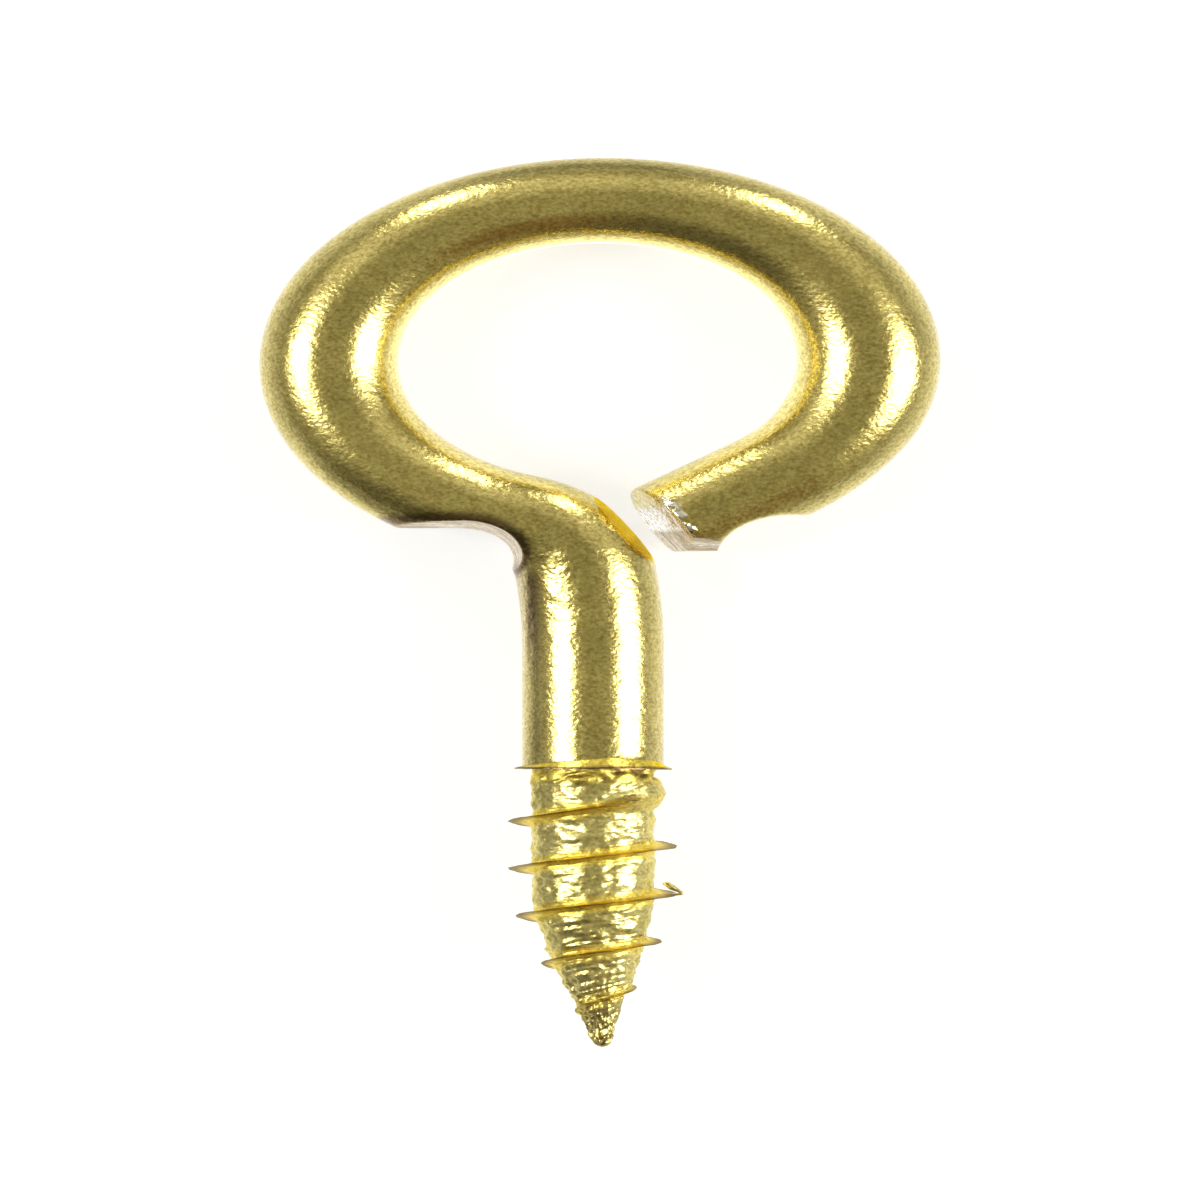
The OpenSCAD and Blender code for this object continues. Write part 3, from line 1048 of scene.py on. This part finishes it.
def joined(name, meshes):
    """One watertight mesh of several that overlap."""
    objects = [link_object(mesh.name, mesh) for mesh in meshes]
    body = objects[0]
    for other in objects[1:]:
        modifier = body.modifiers.new("join", "BOOLEAN")
        modifier.operation = "UNION"
        modifier.solver = "MANIFOLD"
        modifier.material_mode = "TRANSFER"
        modifier.object = other
    whole = evaluated_mesh(body)
    whole.name = name
    for piece in objects:
        bpy.data.objects.remove(piece)
    return link_object(name, whole)


# ---- finishes


def shader_group(name, inputs, outputs):
    """An empty shader group, its named inputs as fields, and its named outputs."""
    group = bpy.data.node_groups.new(name, "ShaderNodeTree")
    for label, value in inputs.items():
        interface_socket(group, label, "NodeSocketFloat").default_value = value
    for label in outputs:
        interface_socket(group, label, "NodeSocketFloat", "OUTPUT")
    inside = group.nodes.new("NodeGroupInput")
    out = group.nodes.new("NodeGroupOutput")
    fields = {label: Field(group, inside.outputs[label]) for label in inputs}
    return group, fields, out.inputs


def object_place(tree):
    return Field(tree, tree.nodes.new("ShaderNodeTexCoord").outputs["Object"])


def plating_group():
    """Bright plating over drawn wire: fine grain, ripples where it was bent, a change of tint."""
    inputs = {
        "Grain size": GRAIN_SIZE,
        "Ripple size": RIPPLE_SIZE,
        "Ripple share": RIPPLE_SHARE,
        "Wrinkled": 0.0,
    }
    group, given, out = shader_group("Plating grain", inputs, ("Height", "Tone", "Stain"))
    place = object_place(group)
    grain_size = given["Grain size"]
    ripple_size = given["Ripple size"]
    coarse_size = grain_size * COARSE_GRAIN
    fine = grain(place, grain_size, seed=1.0, detail=1.0) * grain_size
    coarse = grain(place, coarse_size, seed=4.0, detail=1.0) * grain_size * COARSE_DEPTH
    ripple = grain(place, ripple_size, seed=2.0, detail=2.0) * ripple_size
    ripple_share = given["Ripple share"] + given["Wrinkled"] * WRINKLE_GAIN
    plug(group, fine + coarse + ripple * ripple_share, out["Height"])
    plug(group, grain(place, ripple_size * TONE_SIZE, seed=3.0, detail=3.0), out["Tone"])
    plug(group, grain(place, grain_size, seed=5.0, detail=2.0), out["Stain"])
    return group


def shear_group():
    """Level steps that a shear leaves across the wire, one above the other."""
    inputs = {"Step size": SHEAR_STEP}
    group, given, out = shader_group("Shear marks", inputs, ("Height", "Shade"))
    x, y, z = object_place(group).parts()
    stretched = vector(group, x * SHEAR_STRETCH, y * SHEAR_STRETCH, z)
    steps = grain(stretched, given["Step size"], seed=6.0, detail=1.0)
    plug(group, steps * given["Step size"], out["Height"])
    plug(group, steps, out["Shade"])
    return group


def mixed(tree, share, first, second, blend_type="MIX"):
    """A colour between two others, which are plain colours or sockets."""
    node = add_node(tree, "ShaderNodeMix", data_type="RGBA", blend_type=blend_type)
    plug(tree, share, node.inputs["Factor"])
    for name, colour in (("A", first), ("B", second)):
        plain = isinstance(colour, tuple)
        plug(tree, (*colour, 1) if plain else colour, node.inputs[name])
    return node.outputs["Result"]


def marked(tree, name):
    """A share that the shapes stored on the surface, such as how surely a tool touched it."""
    node = add_node(tree, "ShaderNodeAttribute", attribute_name=name)
    return Field(tree, node.outputs["Fac"])


def new_material(name, inputs):
    """A material, its tree and its shader, with plain values set on it."""
    material = bpy.data.materials.new(name)
    material.use_nodes = True
    shader = material.node_tree.nodes["Principled BSDF"]
    for label, value in inputs.items():
        shader.inputs[label].default_value = value
    return material, material.node_tree, shader


def brass_material(name, groups, tones, roughness, depth, haze=0.0, edge=WHITE):
    """Bright plating in two tones.

    Golden where lacquer gathered, partly painted reflection: the deeper gold between facing brass
    faces.
    Grey-brown in level steps where a tool bared the wire. Near-white where freshly sheared, fresh
    steel with a painted highlight. Dark brown where painted shade or other darkening was stored.
    Edge tints what it reflects at a flat angle.
    """
    inputs = {"Metallic": 1 - haze, "Specular Tint": (*edge, 1)}
    material, tree, shader = new_material(name, inputs)
    plating, shear = (add_node(tree, "ShaderNodeGroup", node_tree=group) for group in groups)
    plug(tree, marked(tree, "wrinkled"), plating.inputs["Wrinkled"])
    bare = marked(tree, "bare")
    lacquer_and_reflection = marked(tree, "lacquer_and_reflection")
    speckles = Field(tree, plating.outputs["Stain"])

    tone = Field(tree, plating.outputs["Tone"]).share(*TONE_RANGE)
    # Gold where lacquer gathered, and painted reflection on the fins, the shoulder and the grazed
    # neck face.
    golden = mixed(tree, lacquer_and_reflection, mixed(tree, tone, *tones), LACQUER_AND_REFLECTION_GOLD)
    shade = Field(tree, shear.outputs["Shade"]).share(*BARE_RANGE)
    bared = mixed(tree, bare * BARE_SHARE, golden, mixed(tree, shade, BARE_DARK, BARE_PALE))
    # Near-white specks on fresh steel: a painted highlight.
    fresh_highlight = marked(tree, "fresh_and_highlight") * speckles.share(*FRESH_HIGHLIGHT_RANGE)
    sheared = mixed(tree, fresh_highlight, bared, FRESH_HIGHLIGHT)
    # Dark brown where painted shade or other darkening was stored.
    darkened = mixed(tree, marked(tree, "darkening_and_shade") * DARKENING_SHARE, sheared, DARKENING_BROWN)
    speckled = mixed(tree, speckles.share(*SPECKLE_RANGE), SPECKLE_DARK, SPECKLE_PALE)
    colour = mixed(tree, 1.0, darkened, speckled, "MULTIPLY")
    plug(tree, colour, shader.inputs["Base Color"])
    dulling = bare * BARE_ROUGHENING + lacquer_and_reflection * GOLD_ROUGHENING
    plug(tree, dulling + roughness, shader.inputs["Roughness"])

    steps = Field(tree, shear.outputs["Height"]) * bare.share(*SHEAR_FULL) * SHEAR_DEPTH
    height = Field(tree, plating.outputs["Height"]) + steps
    bump = add_node(tree, "ShaderNodeBump", {"Height": height, "Distance": depth})
    plug(tree, bump.outputs["Normal"], shader.inputs["Normal"])
    return material


def round_patch(place, centre, outer, inner):
    """How far a place is into a soft round patch."""
    return (place - centre).length().share(outer, inner)


def floor_material():
    """Pale to the camera, and another floor to the polished wire.

    There it dims towards the horizon, has three soft shades, and glows inside the eye.
    """
    material, tree, shader = new_material("Pale floor", {
        "Base Color": (*FLOOR_COLOUR, 1),
        "Roughness": FLOOR_ROUGHNESS,
        "Specular IOR Level": 0.0,
        "Emission Color": (*WHITE, 1),
        "Emission Strength": FLOOR_GLOW,
    })
    facing = Field(tree, tree.nodes.new("ShaderNodeLayerWeight").outputs["Facing"])
    place = object_place(tree)
    shaded = round_patch(place, *FRONT_SHADE).at_least(round_patch(place, *BACK_SHADE))
    level = (1 - facing) * (FLOOR_NADIR - FLOOR_HORIZON) + FLOOR_HORIZON
    level = level * (1 - shaded * FLOOR_SHADE)
    level = level * (1 + round_patch(place, *EYE_GLOW) * EYE_GLOW_GAIN)
    level = level * (1 - round_patch(place, *EYE_SHADE) * EYE_SHADE_DEPTH)
    glow = add_node(tree, "ShaderNodeEmission", {"Color": (*WHITE, 1), "Strength": level})
    seen = tree.nodes.new("ShaderNodeLightPath").outputs["Is Camera Ray"]
    either = tree.nodes.new("ShaderNodeMixShader")
    for socket, value in zip(either.inputs, (seen, glow.outputs[0], shader.outputs[0])):
        plug(tree, value, socket)
    plug(tree, either.outputs[0], tree.nodes["Material Output"].inputs["Surface"])
    return material


# ---- studio


def sky_direction(azimuth, from_zenith):
    """A unit vector: azimuth counted from +X towards +Y, both angles in degrees."""
    across = math.sin(from_zenith * DEG) * direction(azimuth * DEG)
    return across + Vector((0, 0, math.cos(from_zenith * DEG)))


def softbox(name, azimuth, from_zenith, width, height, radiance):
    """A soft oval lamp that faces the piece. Width and height are angles in degrees."""
    lamp = bpy.data.lights.new(name, "AREA")
    lamp.shape = "ELLIPSE"
    lamp.size = 2 * LAMP_DISTANCE * math.tan(width * DEG / 2)
    lamp.size_y = 2 * LAMP_DISTANCE * math.tan(height * DEG / 2)
    lamp.energy = radiance * math.pi * (math.pi / 4 * lamp.size * lamp.size_y)
    box = link_object(name, lamp)
    towards = sky_direction(azimuth, from_zenith)
    box.location = LAMP_DISTANCE * towards
    box.rotation_euler = towards.to_track_quat("Z", "Y").to_euler()
    box.visible_camera = False


def sky_patch(towards, azimuth, from_zenith, inner, outer):
    """A soft round patch of sky, by its inner and outer angles in degrees."""
    nearness = towards.dot(tuple(sky_direction(azimuth, from_zenith)))
    return nearness.share(math.cos(outer * DEG), math.cos(inner * DEG), smooth=True)


def studio_world():
    """The room that the wire reflects: a lit back wall and dark corners. White to the camera."""
    world = bpy.data.worlds.new("Studio")
    bpy.context.scene.world = world
    world.use_nodes = True
    tree = world.node_tree
    towards = Field(tree, tree.nodes.new("ShaderNodeTexCoord").outputs["Generated"])
    _, back, up = towards.parts()
    wall = back.share(*WALL_BACK, smooth=True) * up.share(*WALL_FOOT, smooth=True)
    wall = wall * (1 - up.share(*WALL_TOP, smooth=True))
    room = mixed(tree, wall, ROOM_GREY, WALL_GREY)
    room = mixed(tree, sky_patch(towards, *DARK_CORNER), room, DARK_GREY)
    room = mixed(tree, sky_patch(towards, *WARM_CORNER), room, WARM_GREY)
    seen = Field(tree, tree.nodes.new("ShaderNodeLightPath").outputs["Is Camera Ray"])
    plug(tree, mixed(tree, seen, room, WHITE), tree.nodes["Background"].inputs["Color"])


def pale_floor():
    """A wide flat floor under the piece."""
    mesh = bpy.data.meshes.new("floor")
    corners = [(x * FLOOR_HALF, y * FLOOR_HALF, 0) for x, y in ((-1, -1), (1, -1), (1, 1), (-1, 1))]
    mesh.from_pydata(corners, [], [(0, 1, 2, 3)])
    floor = link_object("floor", mesh)
    mesh.materials.append(floor_material())


def squeeze_camera():
    """Straight above, through a squeeze lens that shows widths 5/3 as large as lengths.

    The squeeze is a shear, held by the camera's parent: the sideways axis leans into the line
    of sight, so that it counts for less across the picture.
    """
    data = bpy.data.cameras.new("camera")
    data.sensor_width = SENSOR_MM
    data.lens = LENS_MM
    data.clip_start = CLIP_START
    data.clip_end = CLIP_END
    camera = link_object("camera", data)
    distance = VIEW_HEIGHT / 2 / math.tan(math.atan(SENSOR_MM / 2 / LENS_MM))
    place = Matrix.Translation(VIEW_CENTRE + Vector((0, 0, distance)))
    lean = math.acos(1 / SQUEEZE)
    squeeze = Matrix.Identity(4)
    squeeze[0][0] = math.cos(lean)
    squeeze[2][0] = -math.sin(lean)
    camera.location = place.translation
    camera.parent = link_object("squeeze", None)
    camera.matrix_parent_inverse = place @ squeeze @ place.inverted()
    bpy.context.scene.camera = camera


# ---- assembly

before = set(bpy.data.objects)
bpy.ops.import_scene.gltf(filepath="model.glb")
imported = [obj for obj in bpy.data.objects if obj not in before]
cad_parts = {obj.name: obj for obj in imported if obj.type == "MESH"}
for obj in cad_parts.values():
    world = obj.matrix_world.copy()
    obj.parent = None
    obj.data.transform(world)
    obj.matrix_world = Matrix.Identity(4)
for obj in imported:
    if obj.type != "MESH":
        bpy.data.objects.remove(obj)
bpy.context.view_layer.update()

squeeze_camera()
pale_floor()
studio_world()
for lamp_settings in LAMPS:
    softbox(*lamp_settings)
bpy.context.scene.view_settings.view_transform = "Standard"

groups = (plating_group(), shear_group())
plated_wire = brass_material("Plated wire", groups, WIRE_TONES, WIRE_ROUGHNESS, WIRE_GRAIN)
plated_thread = brass_material(
    "Plated thread", groups, THREAD_TONES, THREAD_ROUGHNESS, THREAD_GRAIN,
    haze=THREAD_HAZE, edge=THREAD_EDGE,
)
lacquer_and_reflection_gold = brass_material(
    "Lacquer and reflection gold", groups, GOLD_TONES, GOLD_ROUGHNESS, THREAD_GRAIN,
    edge=GOLD_EDGE,
)

screw_eye = joined("screw_eye_plated", [
    bent_wire(plated_wire, lacquer_and_reflection_gold),
    turned_shoulder(plated_thread, lacquer_and_reflection_gold),
    cut_thread(plated_thread),
    crest_burr(plated_thread),
])
screw_eye.data.transform(LAY_DOWN)
screw_eye.data.set_sharp_from_angle(angle=SHARP_ANGLE)
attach(screw_eye, "root")
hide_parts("screw_eye")
